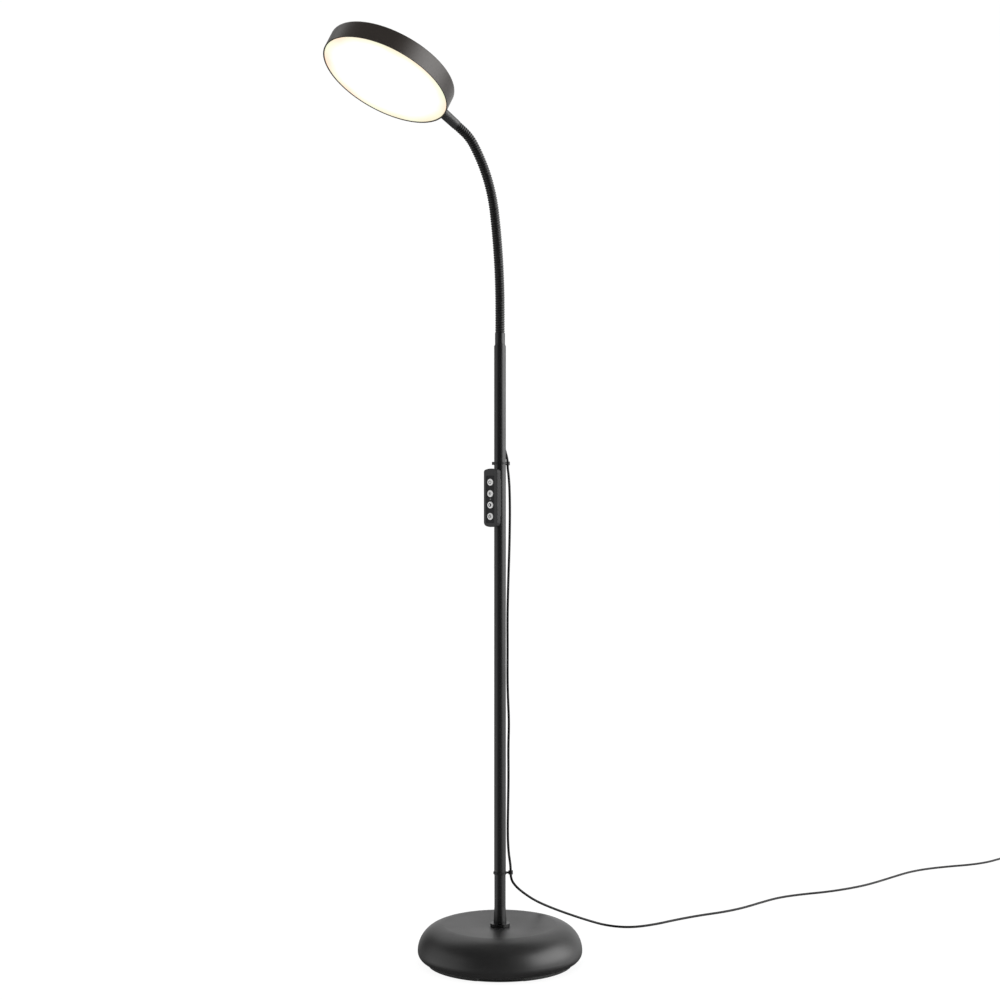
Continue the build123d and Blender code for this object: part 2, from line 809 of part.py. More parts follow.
def adapter():
    """Plug-in adapter lying on its back, its two round pins upwards."""
    tip = Vector(*cord_tail_route[-1])
    long, wide, thick = adapter_size
    near = tip.X + relief_length
    middle = Vector(near + long / 2, tip.Y, thick / 2)
    body = extrude(RectangleRounded(long, wide, adapter_corner), thick)
    body = fillet(body.faces().sort_by(Axis.Z)[-1].edges() + body.faces().sort_by(Axis.Z)[0].edges(), 1.5)
    body = Pos(middle.X, middle.Y, 0) * body
    entry = Plane(origin=(near, tip.Y, tip.Z), x_dir=(0, 1, 0), z_dir=(1, 0, 0))
    relief = entry * turned(
        (0, -relief_length), (cord_radius + 0.4, -relief_length), (cord_radius + 1.9, -4),
        (cord_radius + 2.6, -3), (cord_radius + 2.6, 0), (0, 0))
    pins = []
    for side in (-0.5, 0.5):
        pin = turned((0, thick), (pin_radius, thick), (pin_radius, thick + pin_length - 1.5),
                     (pin_radius - 1.0, thick + pin_length), (0, thick + pin_length))
        pins.append(Pos(middle.X + long * 0.1, middle.Y + side * pin_spread, 0) * pin)
    return body, relief, pins


def exit_plane():
    """Plane where the lead leaves its grommet, looking along the lead."""
    first, second = [Vector(*point) for point in cord_route()[:2]]
    return Plane(origin=first, z_dir=second - first)


def cord_grommet():
    """Bush in the pole's wall that the lead comes out of."""
    back = -grommet_length
    return exit_plane() * turned(
        (0, back), (grommet_radius, back), (grommet_radius, -1.5), (cord_radius + 0.5, 0), (0, 0))


def grommet_hole():
    return exit_plane() * ring(grommet_radius + slip / 2, 0, -grommet_length - 2, 6)


def bar(start, end, width, low, high):
    """Flat bar along X, centred on the XZ plane."""
    middle = Pos((start + end) / 2, 0, low)
    return middle * extrude(Rectangle(end - start, width), high - low)


def cord_clip(height, azimuth):
    """Sprung ring round the pole with an eye that holds the lead, and a small split tab."""
    low, high = height - clip_height / 2, height + clip_height / 2
    eye_low, eye_high = height - clip_eye_height / 2, height + clip_eye_height / 2
    tab_low, tab_high = height - clip_tab_height / 2, height + clip_tab_height / 2
    inner = pole_radius + slip / 2
    outer = inner + clip_wall
    bore = cord_radius + clip_eye_play
    rim = bore + clip_eye_wall
    eye = Pos(clip_reach, 0, 0) * ring(rim, 0, eye_low, eye_high)
    eye_bore = Pos(clip_reach, 0, 0) * ring(bore, 0, eye_low - 1, eye_high + 1)
    mouth = bar(clip_reach, clip_reach + rim + 1, clip_eye_mouth, eye_low - 1, eye_high + 1)
    arm = bar(inner + clip_wall / 2, clip_reach, clip_arm, low, high)
    tab = Rot(0, 0, clip_tab_turn) * bar(inner + clip_wall / 2, outer + clip_tab, clip_arm, tab_low, tab_high)
    split = Rot(0, 0, clip_tab_turn) * bar(inner - 1, outer + clip_tab + 1, clip_split, tab_low - 1, tab_high + 1)
    body = ring(outer, 0, low, high) + arm + eye + tab
    body = body - ring(inner, 0, tab_low - 1, tab_high + 1) - eye_bore - mouth - split
    return Rot(0, 0, azimuth) * body


def make_lead():
    save("upper_cord_clip", cord_clip(upper_clip_height, upper_clip_turn))
    save("lower_cord_clip", cord_clip(lower_clip_height, lower_clip_turn))
    save("cord_grommet", cord_grommet())
    save("cord_run", cord_along("cord_run", cord_route()))
    arcs = coil_arcs()
    save("cord_coil", swept_cord("cord_coil", Wire([arc.edge() for arc in arcs])))
    print("cord_coil least gap", round(least_gap(arcs), 2))
    save("cord_tail", cord_along("cord_tail", cord_tail_route))
    save("coil_tie", coil_tie(arcs))
    body, relief, pins = adapter()
    save("adapter_body", body)
    save("adapter_relief", relief)
    save("adapter_pins", *pins)


make_base()
make_pole()
make_neck()
make_head()
make_panel()
make_lead()
print("neck ends at", neck_plane(neck_length).origin, "head middle", head_plane().origin)
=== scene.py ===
import json
from math import cos, pi, radians, sin

import bpy
from mathutils import Matrix, Vector


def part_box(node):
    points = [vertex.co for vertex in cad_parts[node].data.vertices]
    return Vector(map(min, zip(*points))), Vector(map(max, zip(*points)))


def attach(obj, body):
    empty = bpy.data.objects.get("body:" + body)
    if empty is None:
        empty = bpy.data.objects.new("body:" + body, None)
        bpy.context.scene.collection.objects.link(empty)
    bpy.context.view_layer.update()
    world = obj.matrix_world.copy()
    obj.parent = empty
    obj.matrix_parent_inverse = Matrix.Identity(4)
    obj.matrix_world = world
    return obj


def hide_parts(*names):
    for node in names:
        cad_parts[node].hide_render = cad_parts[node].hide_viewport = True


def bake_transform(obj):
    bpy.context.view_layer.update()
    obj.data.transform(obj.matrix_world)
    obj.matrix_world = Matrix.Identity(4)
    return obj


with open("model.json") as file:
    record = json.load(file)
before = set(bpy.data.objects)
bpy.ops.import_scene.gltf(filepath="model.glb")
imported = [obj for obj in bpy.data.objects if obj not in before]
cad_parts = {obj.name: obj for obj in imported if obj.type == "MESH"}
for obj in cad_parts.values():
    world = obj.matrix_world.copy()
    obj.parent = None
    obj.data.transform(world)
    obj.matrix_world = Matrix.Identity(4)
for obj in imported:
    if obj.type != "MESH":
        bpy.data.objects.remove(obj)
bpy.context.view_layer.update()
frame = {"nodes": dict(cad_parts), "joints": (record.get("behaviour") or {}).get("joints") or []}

# Looks of a gooseneck reading floor lamp: metres, +Z up, origin on the floor at the pole's axis.

hinges = [joint for joint in frame["joints"] if joint["name"].startswith("neck_")]

# ---------------------------------------------------------------- driving sizes
photo_distance = 2.749
photo_height = 0.7467
photo_lens = 61.2
sensor_width = 36.0
view_depth = 50

cord_diameter = 0.004
coil_radii = [0.0236, 0.0212, 0.0188, 0.0212, 0.0236, 0.026]
coil_climb_turn = 2
coil_layer = 0.0048
coil_points = 8
cord_roundness = 4
cord_order = 3
cord_smoothness = 8

neck_azimuth = 35.0
neck_runs = [(0.036, 0.0), (0.158, 8.0), (0.113, 26.5), (0.028, 23.0), (0.015, 0.0)]
neck_crest = 0.0078
neck_root = 0.0060
neck_tail = 0.0067
neck_socket = 0.009
winding_pitch = 0.0039
winding_fullness = 0.55
winding_steps = 8
winding_sides = 36
blend_share = 0.92
hinge_precision = 1e-6

head_tilt = 61.3
head_radius = 0.105
ferrule_length = 0.036
ferrule_offset = 0.0062

panel_turn = 37.0
panel_crown = 0.0271
strip_size = (0.016, 0.076)
button_names = ["power_button", "brightness_button", "colour_button", "timer_button"]
icon_radius = 0.0031
icon_stroke = 0.0010
icon_height = 0.00012
icon_steps = 28
power_ends = (35, 325)
sun_rays = 8
# The icons' proportions, as shares of their radius.
power_stem = 0.1
sun_disc = 0.42
sun_hole = 0.05
sun_gap = 0.62
half_disc_hole = 0.02
timer_tail = 0.1
timer_hand = 0.7
timer_arm = 0.55

up = Vector((0, 0, 1))
bend_out = Vector((-cos(radians(neck_azimuth)), -sin(radians(neck_azimuth)), 0))
bend_side = up.cross(bend_out)
neck_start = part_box("neck_collar")[1].z
neck_length = sum(length for length, turn in neck_runs)
panel_across = Vector((cos(radians(panel_turn)), -sin(radians(panel_turn)), 0))
panel_outward = Vector((-sin(radians(panel_turn)), -cos(radians(panel_turn)), 0))


def middle_of(node):
    low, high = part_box(node)
    return (Vector(low) + Vector(high)) / 2


# ---------------------------------------------------------------- camera
def make_camera():
    data = bpy.data.cameras.new("photo_camera")
    data.lens = photo_lens
    data.sensor_width = sensor_width
    data.clip_end = view_depth
    camera = bpy.data.objects.new("photo_camera", data)
    camera.location = (0, -photo_distance, photo_height)
    camera.rotation_euler = (pi / 2, 0, 0)
    bpy.context.scene.collection.objects.link(camera)
    bpy.context.scene.camera = camera


# ---------------------------------------------------------------- mesh helpers
def add_mesh(name, vertices, faces, smooth=True):
    mesh = bpy.data.meshes.new(name)
    mesh.from_pydata([tuple(v) for v in vertices], [], faces)
    mesh.validate()
    if smooth:
        mesh.polygons.foreach_set("use_smooth", [True] * len(mesh.polygons))
    piece = bpy.data.objects.new(name, mesh)
    bpy.context.scene.collection.objects.link(piece)
    return piece


def place_matrix(origin, across, outward):
    """Matrix of a local frame: X across, Z outward."""
    across = across.normalized()
    outward = outward.normalized()
    matrix = Matrix((across, outward.cross(across), outward)).transposed().to_4x4()
    matrix.translation = origin
    return matrix


def rings_to_mesh(name, rings):
    """Closed skin over rings of points that each hold as many points, with a cap at both ends."""
    sides = len(rings[0])
    vertices = [point for ring in rings for point in ring]
    faces = []
    for k in range(len(rings) - 1):
        low, high = k * sides, (k + 1) * sides
        for j in range(sides):
            after = (j + 1) % sides
            faces.append((low + j, low + after, high + after, high + j))
    faces.append(tuple(reversed(range(sides))))
    faces.append(tuple(range((len(rings) - 1) * sides, len(rings) * sides)))
    return add_mesh(name, vertices, faces)


# ---------------------------------------------------------------- gooseneck
def neck_at(distance):
    """Reach, rise and lean from vertical (radians) at a distance along the gooseneck."""
    reach, rise, lean = 0.0, min(distance, 0.0), 0.0
    left = max(distance, 0.0)
    for length, turn in neck_runs:
        step = min(left, length)
        swing = radians(turn) * step / length
        chord = step if swing == 0 else 2 * length / radians(turn) * sin(swing / 2)
        reach += chord * sin(lean + swing / 2)
        rise += chord * cos(lean + swing / 2)
        lean += swing
        left -= step
    return reach + left * sin(lean), rise + left * cos(lean), lean


def neck_matrix(distance):
    reach, rise, lean = neck_at(distance)
    origin = bend_out * reach + up * (neck_start + rise)
    return place_matrix(origin, bend_side, bend_out * sin(lean) + up * cos(lean))


def wound_profile(phase):
    """Radius over one turn of the winding: a broad full crest between two narrow grooves."""
    crown = abs(sin(pi * phase)) ** winding_fullness
    return neck_root + (neck_crest - neck_root) * crown


def neck_piece(index, low, high):
    """Hose between two distances along the neck, wound outside its sockets and smooth inside them."""
    count = max(2, round((high - low) / winding_pitch * winding_steps))
    rings = []
    for k in range(count + 1):
        distance = low + (high - low) * k / count
        matrix = neck_matrix(distance)
        wound = 0 <= distance <= neck_length
        radius = neck_tail
        ring = []
        for j in range(winding_sides):
            turn = 2 * pi * j / winding_sides
            if wound:
                radius = wound_profile(distance / winding_pitch - j / winding_sides)
            ring.append(matrix @ Vector((radius * cos(turn), radius * sin(turn), 0)))
        rings.append(ring)
    return rings_to_mesh(f"gooseneck_{index + 1}", rings)


def hinge_distance(hinge):
    """Distance along the gooseneck of a hinge, from its place."""
    target = Vector(hinge["pos_m"])
    low, high = 0.0, neck_length
    while high - low > hinge_precision:
        middle = (low + high) / 2
        rise = neck_at(middle)[1]
        if neck_start + rise < target.z:
            low = middle
        else:
            high = middle
    return (low + high) / 2


def make_neck():
    """One piece of hose per hinge, cut halfway between the hinges."""
    places = [hinge_distance(hinge) for hinge in hinges]
    between = [(a + b) / 2 for a, b in zip(places, places[1:])]
    cuts = [-neck_socket] + between + [neck_length + neck_socket]
    for index, hinge in enumerate(hinges):
        low, high = cuts[index], cuts[index + 1]
        piece = neck_piece(index, low, high)
        reach = blend_share * min(places[index] - low, high - places[index])
        start = neck_matrix(places[index] - reach).translation
        end = neck_matrix(places[index] + reach).translation
        piece.data.materials.append(neck_coat())
        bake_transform(piece)
        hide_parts(f"neck_hose_{index + 1}")
    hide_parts(f"neck_hose_{len(hinges) + 1}")


# ---------------------------------------------------------------- lead
# Out of the grommet and through the upper clip: x, y, height from the clip's middle.
cord_exit = [
    (0.00573, 0.01288, 0.031), (0.0081, 0.0176, 0.0215), (0.01237, 0.01237, 0.0065),
    (0.01237, 0.01237, -0.0065), (0.0139, 0.012, -0.018), (0.0156, 0.0116, -0.040),
]
# Hanging beside the pole: x, y, share of the height from the lower clip to the upper one.
cord_hang = [
    (0.0162, 0.011, 0.876), (0.0153, 0.0096, 0.794), (0.0134, 0.0082, 0.710), (0.0121, 0.0072, 0.628),
    (0.0124, 0.0065, 0.545), (0.0121, 0.0061, 0.474), (0.013, 0.0056, 0.423), (0.0147, 0.0052, 0.366),
    (0.0134, 0.0048, 0.304), (0.0139, 0.0045, 0.236), (0.0131, 0.0041, 0.160), (0.0124, 0.0038, 0.097),
    (0.0138, 0.0035, 0.048),
]
# Through the lower clip and out over the base: x, y, height from the clip's middle.
cord_lower = [
    (0.01728, 0.00274, 0.011), (0.01728, 0.00274, -0.010), (0.024, 0.017, -0.024), (0.036, 0.042, -0.0405),
]
# Down to the floor and along it to the coil: x, y, height.
cord_floor = [
    (0.058, 0.081, 0.080), (0.084, 0.123, 0.059), (0.114, 0.166, 0.038), (0.150, 0.203, 0.0175),
    (0.186, 0.219, 0.0036), (0.226, 0.212, 0.002), (0.268, 0.231, 0.002), (0.313, 0.268, 0.002),
    (0.358, 0.299, 0.002), (0.406, 0.325, 0.002), (0.446, 0.357, 0.002), (0.484, 0.398, 0.002),
    (0.522, 0.436, 0.002), (0.570, 0.462, 0.002), (0.620, 0.481, 0.002), (0.668, 0.509, 0.002),
    (0.708, 0.539, 0.002), (0.746, 0.577, 0.002), (0.784, 0.618, 0.002), (0.822, 0.657, 0.002),
    (0.864, 0.685, 0.002), (0.912, 0.706, 0.002), (0.960, 0.722, 0.002), (1.002, 0.746, 0.002),
    (1.036, 0.779, 0.002), (1.058, 0.797, 0.0024), (1.078, 0.806, 0.003), (1.096, 0.806, 0.003),
]
# From the coil to the adapter's strain relief.
cord_tail_route = [
    (1.096, 0.8012, 0.0078), (1.110, 0.8012, 0.0078), (1.128, 0.803, 0.0108),
    (1.147, 0.8055, 0.013), (1.163, 0.8055, 0.013),
]


def cord_route():
    """All points of the lead from its grommet to the coil."""
    upper = middle_of("upper_cord_clip").z
    lower = middle_of("lower_cord_clip").z
    points = [Vector((x, y, upper + z)) for x, y, z in cord_exit]
    points += [Vector((x, y, lower + share * (upper - lower))) for x, y, share in cord_hang]
    points += [Vector((x, y, lower + z)) for x, y, z in cord_lower]
    return points + [Vector(place) for place in cord_floor]


def coil_turns():
    """Points round the coil's half turns, which go in, up one layer and out again."""
    here = Vector(cord_floor[-1])
    heading = 1
    points = []
    for k, radius in enumerate(coil_radii):
        climb = coil_layer if k == coil_climb_turn else 0.0
        centre = here + Vector((0, heading * radius, 0))
        for j in range(coil_points):
            share = (j + 0.5) / coil_points
            turn = pi * share
            side = heading * radius * sin(turn)
            ahead = -heading * radius * cos(turn)
            points.append(centre + Vector((side, ahead, climb * share)))
        here = centre + Vector((0, heading * radius, climb))
        heading = -heading
    return points


def make_cord():
    """The whole lead as one tube, from the grommet over the coil to the adapter."""
    points = cord_route()[:-1] + coil_turns() + [Vector(place) for place in cord_tail_route[1:]]
    data = bpy.data.curves.new("power_cord", "CURVE")
    data.dimensions = "3D"
    data.bevel_depth = cord_diameter / 2
    data.bevel_resolution = cord_roundness
    data.use_fill_caps = True
    spline = data.splines.new("NURBS")
    spline.points.add(len(points) - 1)
    for point, place in zip(spline.points, points):
        point.co = (*place, 1)
    spline.order_u = cord_order
    spline.use_endpoint_u = True
    spline.resolution_u = cord_smoothness
    cord = bpy.data.objects.new("power_cord", data)
    bpy.context.scene.collection.objects.link(cord)
    data.materials.append(cord_rubber())
    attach(cord, "stand")
    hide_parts("cord_run", "cord_coil", "cord_tail")


# ---------------------------------------------------------------- materials
noise_detail = 4.0
grain_detail = 2.0
noise_roughness = 0.55
noise_middle = (0.3, 0.7)

panel_dark = (0.034, 0.034, 0.035)
panel_light = (0.042, 0.042, 0.043)
panel_specular = 0.2
panel_patches = 60.0
panel_grain = 2200.0
panel_face_rough = 0.5
panel_face_bump = 0.4
grain_depth = 0.00005
strip_colour = (0.012, 0.012, 0.0135)
strip_polish = -0.12

rim_start = 0.72
rim_end = 1.01
rim_patches = 16.0
rim_detail = 2.0
rim_unevenness = 0.16
tint_patches = 14.0
tint_detail = 1.0
tint_range = (-0.3, 1.3)
rim_cream = (0.90, 0.62, 0.43)
rim_olive = (0.72, 0.75, 0.50)
lit_white = (1, 1, 0.98)
opal = (0.25, 0.25, 0.245)
opal_rough = 0.35

made_materials = {}


def new_material(name):
    material = bpy.data.materials.new(name)
    material.use_nodes = True
    nodes = material.node_tree.nodes
    return material, nodes, material.node_tree.links, nodes["Principled BSDF"]


def calculate(nodes, links, operation, *sources):
    """Math node on numbers or sockets."""
    node = nodes.new("ShaderNodeMath")
    node.operation = operation
    for socket, source in zip(node.inputs, sources):
        if isinstance(source, (int, float)):
            socket.default_value = source
        else:
            links.new(source, socket)
    return node.outputs["Value"]


def calculate_vector(nodes, links, operation, source, fixed=None):
    """Vector math node on a socket and, where the operation takes one, a fixed vector."""
    node = nodes.new("ShaderNodeVectorMath")
    node.operation = operation
    links.new(source, node.inputs[0])
    if fixed is not None:
        node.inputs[1].default_value = fixed
    single = operation in ("DOT_PRODUCT", "LENGTH")
    return node.outputs["Value" if single else "Vector"]


def object_place(nodes):
    return nodes.new("ShaderNodeTexCoord").outputs["Object"]


def noise(nodes, links, scale, detail=noise_detail):
    texture = nodes.new("ShaderNodeTexNoise")
    texture.inputs["Scale"].default_value = scale
    texture.inputs["Detail"].default_value = detail
    texture.inputs["Roughness"].default_value = noise_roughness
    links.new(object_place(nodes), texture.inputs["Vector"])
    return texture.outputs["Fac"]


def map_range(nodes, links, source, start, end, first=0.0, last=1.0, smooth=False):
    """Map one range of values onto another, held at its ends."""
    scale = nodes.new("ShaderNodeMapRange")
    if smooth:
        scale.interpolation_type = "SMOOTHSTEP"
    scale.inputs["From Min"].default_value = start
    scale.inputs["From Max"].default_value = end
    scale.inputs["To Min"].default_value = first
    scale.inputs["To Max"].default_value = last
    links.new(source, scale.inputs["Value"])
    return scale.outputs["Result"]


def spread(nodes, links, source, low, high):
    """Map a noise's middle range onto two values."""
    return map_range(nodes, links, source, *noise_middle, low, high)


def mixed_colour(nodes, links, factor, first, second):
    """Colour between two, each a fixed colour or a socket."""
    mix = nodes.new("ShaderNodeMix")
    mix.data_type = "RGBA"
    for letter, colour in (("A", first), ("B", second)):
        if isinstance(colour, tuple):
            mix.inputs[letter].default_value = (*colour, 1)
        else:
            links.new(colour, mix.inputs[letter])
    links.new(factor, mix.inputs["Factor"])
    return mix.outputs["Result"]


def raise_grain(nodes, links, shader, grain, strength, depth):
    """Give a shader the relief of a fine noise."""
    raised = nodes.new("ShaderNodeBump")
    raised.inputs["Strength"].default_value = strength
    raised.inputs["Distance"].default_value = depth
    links.new(noise(nodes, links, grain, grain_detail), raised.inputs["Height"])
    links.new(raised.outputs["Normal"], shader.inputs["Normal"])


def surface(name, dark, light, rough, grain=1500.0, bump=0.1, depth=grain_depth, metallic=0.0,
            patches=14.0, specular=0.5):
    """Finish with slow colour patches, uneven gloss and a fine raised grain."""
    if name in made_materials:
        return made_materials[name]
    material, nodes, links, shader = new_material(name)
    slow = noise(nodes, links, patches)
    links.new(mixed_colour(nodes, links, slow, dark, light), shader.inputs["Base Color"])
    links.new(spread(nodes, links, slow, rough[0], rough[1]), shader.inputs["Roughness"])
    shader.inputs["Metallic"].default_value = metallic
    shader.inputs["Specular IOR Level"].default_value = specular
    raise_grain(nodes, links, shader, grain, bump, depth)
    made_materials[name] = material
    return material


def base_paint():
    return surface("base_paint", (0.015, 0.015, 0.0155), (0.020, 0.0195, 0.019),
                   rough=(0.34, 0.41), grain=1400, bump=0.25)


def pole_paint():
    return surface("pole_paint", (0.0055, 0.0055, 0.006), (0.0085, 0.0085, 0.009),
                   rough=(0.26, 0.33), grain=1800, bump=0.12)


def ferrule_paint():
    return surface("ferrule_paint", (0.026, 0.026, 0.0265), (0.034, 0.034, 0.0345),
                   rough=(0.38, 0.46), grain=1800, bump=0.12)


def head_paint():
    return surface("head_paint", (0.030, 0.024, 0.020), (0.038, 0.031, 0.027),
                   rough=(0.33, 0.40), grain=1600, bump=0.15)


def neck_coat():
    return surface("neck_coat", (0.007, 0.007, 0.0072), (0.010, 0.010, 0.0102),
                   rough=(0.28, 0.34), grain=1600, bump=0.06)


def cord_rubber():
    return surface("cord_rubber", (0.004, 0.004, 0.0045), (0.007, 0.007, 0.0075),
                   rough=(0.38, 0.48), grain=2500, bump=0.3, specular=0.25)


def clip_plastic():
    return surface("clip_plastic", (0.007, 0.007, 0.0075), (0.011, 0.011, 0.0115),
                   rough=(0.34, 0.44), grain=2500, bump=0.3, specular=0.35)


def foot_rubber():
    return surface("foot_rubber", (0.010, 0.010, 0.010), (0.018, 0.018, 0.018),
                   rough=(0.6, 0.75), grain=1500, bump=0.5)


def tie_rubber():
    return surface("tie_rubber", (0.02, 0.02, 0.02), (0.03, 0.03, 0.03),
                   rough=(0.5, 0.65), grain=2000, bump=0.4)


def plate_steel():
    return surface("plate_steel", (0.02, 0.02, 0.02), (0.03, 0.03, 0.03),
                   rough=(0.4, 0.55), grain=900, bump=0.3)


def cast_iron():
    return surface("cast_iron", (0.06, 0.06, 0.062), (0.10, 0.095, 0.09),
                   rough=(0.6, 0.8), grain=500, bump=0.8, depth=0.0003, metallic=0.7)


def bright_steel():
    return surface("bright_steel", (0.5, 0.5, 0.51), (0.6, 0.6, 0.61),
                   rough=(0.2, 0.35), grain=1200, bump=0.15, metallic=1.0)


def nickel():
    return surface("nickel", (0.62, 0.6, 0.56), (0.72, 0.7, 0.66),
                   rough=(0.14, 0.26), grain=1500, bump=0.1, metallic=1.0)


def solder_mask():
    return surface("solder_mask", (0.02, 0.10, 0.05), (0.03, 0.14, 0.07),
                   rough=(0.3, 0.4), grain=1000, bump=0.2)


def white_board():
    return surface("white_board", (0.75, 0.76, 0.75), (0.82, 0.82, 0.81),
                   rough=(0.35, 0.45), grain=900, bump=0.1)


def phosphor():
    return surface("phosphor", (0.85, 0.72, 0.22), (0.9, 0.8, 0.3),
                   rough=(0.3, 0.4), grain=2000, bump=0.1)


def reflector_white():
    return surface("reflector_white", (0.82, 0.82, 0.81), (0.88, 0.88, 0.87),
                   rough=(0.25, 0.35), grain=900, bump=0.1)


def panel_plastic():
    return surface("panel_plastic", panel_dark, panel_light,
                   rough=(0.46, 0.56), grain=panel_grain, bump=0.5, depth=0.00006, specular=panel_specular)


def panel_face_plastic():
    """The panel's plastic with a darker, smoother strip round the buttons."""
    material, nodes, links, shader = new_material("panel_face_plastic")
    place = object_place(nodes)
    inside = 1.0
    strip_middle = up * middle_of("indicator_lens").z
    for axis, size in ((panel_across, strip_size[0]), (up, strip_size[1])):
        along = calculate_vector(nodes, links, "DOT_PRODUCT", place, axis)
        offset = calculate(nodes, links, "SUBTRACT", along, strip_middle.dot(axis))
        distance = calculate(nodes, links, "ABSOLUTE", offset)
        within = calculate(nodes, links, "LESS_THAN", distance, size / 2)
        inside = calculate(nodes, links, "MULTIPLY", within, inside)
    slow = noise(nodes, links, panel_patches)
    body = mixed_colour(nodes, links, slow, panel_dark, panel_light)
    colour = mixed_colour(nodes, links, inside, body, strip_colour)
    links.new(colour, shader.inputs["Base Color"])
    rough = calculate(nodes, links, "MULTIPLY_ADD", inside, strip_polish, panel_face_rough)
    links.new(rough, shader.inputs["Roughness"])
    shader.inputs["Specular IOR Level"].default_value = panel_specular
    raise_grain(nodes, links, shader, panel_grain, panel_face_bump, grain_depth)
    return material


def adapter_plastic():
    return surface("adapter_plastic", (0.018, 0.018, 0.019), (0.026, 0.026, 0.027),
                   rough=(0.42, 0.52), grain=1800, bump=0.5, depth=0.00006)


def button_white():
    return surface("button_white", (0.70, 0.70, 0.70), (0.78, 0.78, 0.77),
                   rough=(0.3, 0.4), grain=1800, bump=0.1)


def lens_clear():
    return surface("lens_clear", (0.13, 0.13, 0.125), (0.17, 0.17, 0.16),
                   rough=(0.12, 0.2), grain=900, bump=0.05)


def icon_ink():
    return surface("icon_ink", (0.02, 0.02, 0.021), (0.03, 0.03, 0.031),
                   rough=(0.45, 0.55), grain=2000, bump=0.1)


def head_matrix():
    """Frame of the head's middle: Z towards the light, Y away from the gooseneck."""
    end = neck_matrix(neck_length)
    lean = radians(head_tilt)
    along = bend_out * sin(lean) + up * cos(lean)
    light = bend_out * cos(lean) - up * sin(lean)
    entry = end.translation + end.col[2].to_3d() * ferrule_length
    middle = entry + along * head_radius + light * ferrule_offset
    return place_matrix(middle, bend_side, light)


def lit_diffuser():
    """Opal window lit from behind: white, with cream and pale olive patches near its rim."""
    material, nodes, links, shader = new_material("lit_diffuser")
    matrix = head_matrix()
    shift = calculate_vector(nodes, links, "SUBTRACT", object_place(nodes), matrix.translation)
    across = calculate_vector(nodes, links, "CROSS_PRODUCT", shift, matrix.col[2].to_3d())
    size = calculate_vector(nodes, links, "LENGTH", across)
    share = calculate(nodes, links, "DIVIDE", size, head_radius)
    patches = noise(nodes, links, rim_patches, rim_detail)
    uneven = calculate(nodes, links, "MULTIPLY_ADD", patches, rim_unevenness, -rim_unevenness / 2)
    total = calculate(nodes, links, "ADD", share, uneven)
    rim = map_range(nodes, links, total, rim_start, rim_end, smooth=True)
    tint_share = spread(nodes, links, noise(nodes, links, tint_patches, tint_detail), *tint_range)
    tint = mixed_colour(nodes, links, tint_share, rim_cream, rim_olive)
    glow = mixed_colour(nodes, links, rim, lit_white, tint)
    shader.inputs["Base Color"].default_value = (*opal, 1)
    shader.inputs["Roughness"].default_value = opal_rough
    links.new(glow, shader.inputs["Emission Color"])
    shader.inputs["Emission Strength"].default_value = 1.0
    return material


node_finishes = {
    base_paint: ["base_cover"],
    cast_iron: ["base_weight"],
    plate_steel: ["base_plate"],
    foot_rubber: ["foot_pad_1", "foot_pad_2", "foot_pad_3", "foot_pad_4", "foot_gasket"],
    pole_paint: ["pole_foot", "pole_lower_tube", "pole_middle_tube", "pole_upper_tube", "neck_collar"],
    ferrule_paint: ["head_ferrule"],
    bright_steel: ["base_screws", "foot_stud", "pole_joint_lower", "pole_joint_upper", "head_nut",
                   "head_screws", "panel_screws"],
    head_paint: ["head_housing"],
    white_board: ["led_board"],
    phosphor: ["led_chips"],
    reflector_white: ["reflector"],
    lit_diffuser: ["diffuser"],
    panel_face_plastic: ["panel_front"],
    panel_plastic: ["panel_rear"],
    solder_mask: ["control_board"],
    clip_plastic: ["upper_cord_clip", "lower_cord_clip", "cord_grommet", "switches", "adapter_relief"],
    button_white: button_names,
    lens_clear: ["indicator_lens"],
    tie_rubber: ["coil_tie"],
    adapter_plastic: ["adapter_body"],
    nickel: ["adapter_pins"],
}


def finish_nodes():
    for finish, names in node_finishes.items():
        material = finish()
        for name in names:
            node = frame["nodes"][name]
            node.data.materials.clear()
            node.data.materials.append(material)


# ---------------------------------------------------------------- button icons
def ring_outline(outer, inner, first=0.0, last=360.0):
    """Band between two radii from one angle to another, in degrees from straight up."""
    turns = [radians(first + (last - first) * k / icon_steps) for k in range(icon_steps + 1)]
    return ([(outer * sin(t), outer * cos(t)) for t in turns],
            [(inner * sin(t), inner * cos(t)) for t in turns])


def stroke(start, end):
    """Straight line of the icons' stroke between two points."""
    start, end = Vector(start), Vector(end)
    side = (end - start).orthogonal().normalized() * icon_stroke / 2
    return [tuple(start + side), tuple(end + side)], [tuple(start - side), tuple(end - side)]


def power_icon():
    return [ring_outline(icon_radius, icon_radius - icon_stroke, *power_ends),
            stroke((0, power_stem * icon_radius), (0, icon_radius))]


def brightness_icon():
    disc = ring_outline(sun_disc * icon_radius, sun_hole * icon_radius)
    rays = []
    for k in range(sun_rays):
        turn = 2 * pi * k / sun_rays
        ray = Vector((sin(turn), cos(turn)))
        rays.append(stroke(ray * sun_gap * icon_radius, ray * icon_radius))
    return [disc] + rays


def colour_icon():
    return [ring_outline(icon_radius, icon_radius - icon_stroke),
            ring_outline(icon_radius - icon_stroke / 2, half_disc_hole * icon_radius, 0, 180)]


def timer_icon():
    return [ring_outline(icon_radius, icon_radius - icon_stroke),
            stroke((0, -timer_tail * icon_radius), (0, timer_hand * icon_radius)),
            stroke((0, 0), (timer_arm * icon_radius, 0))]


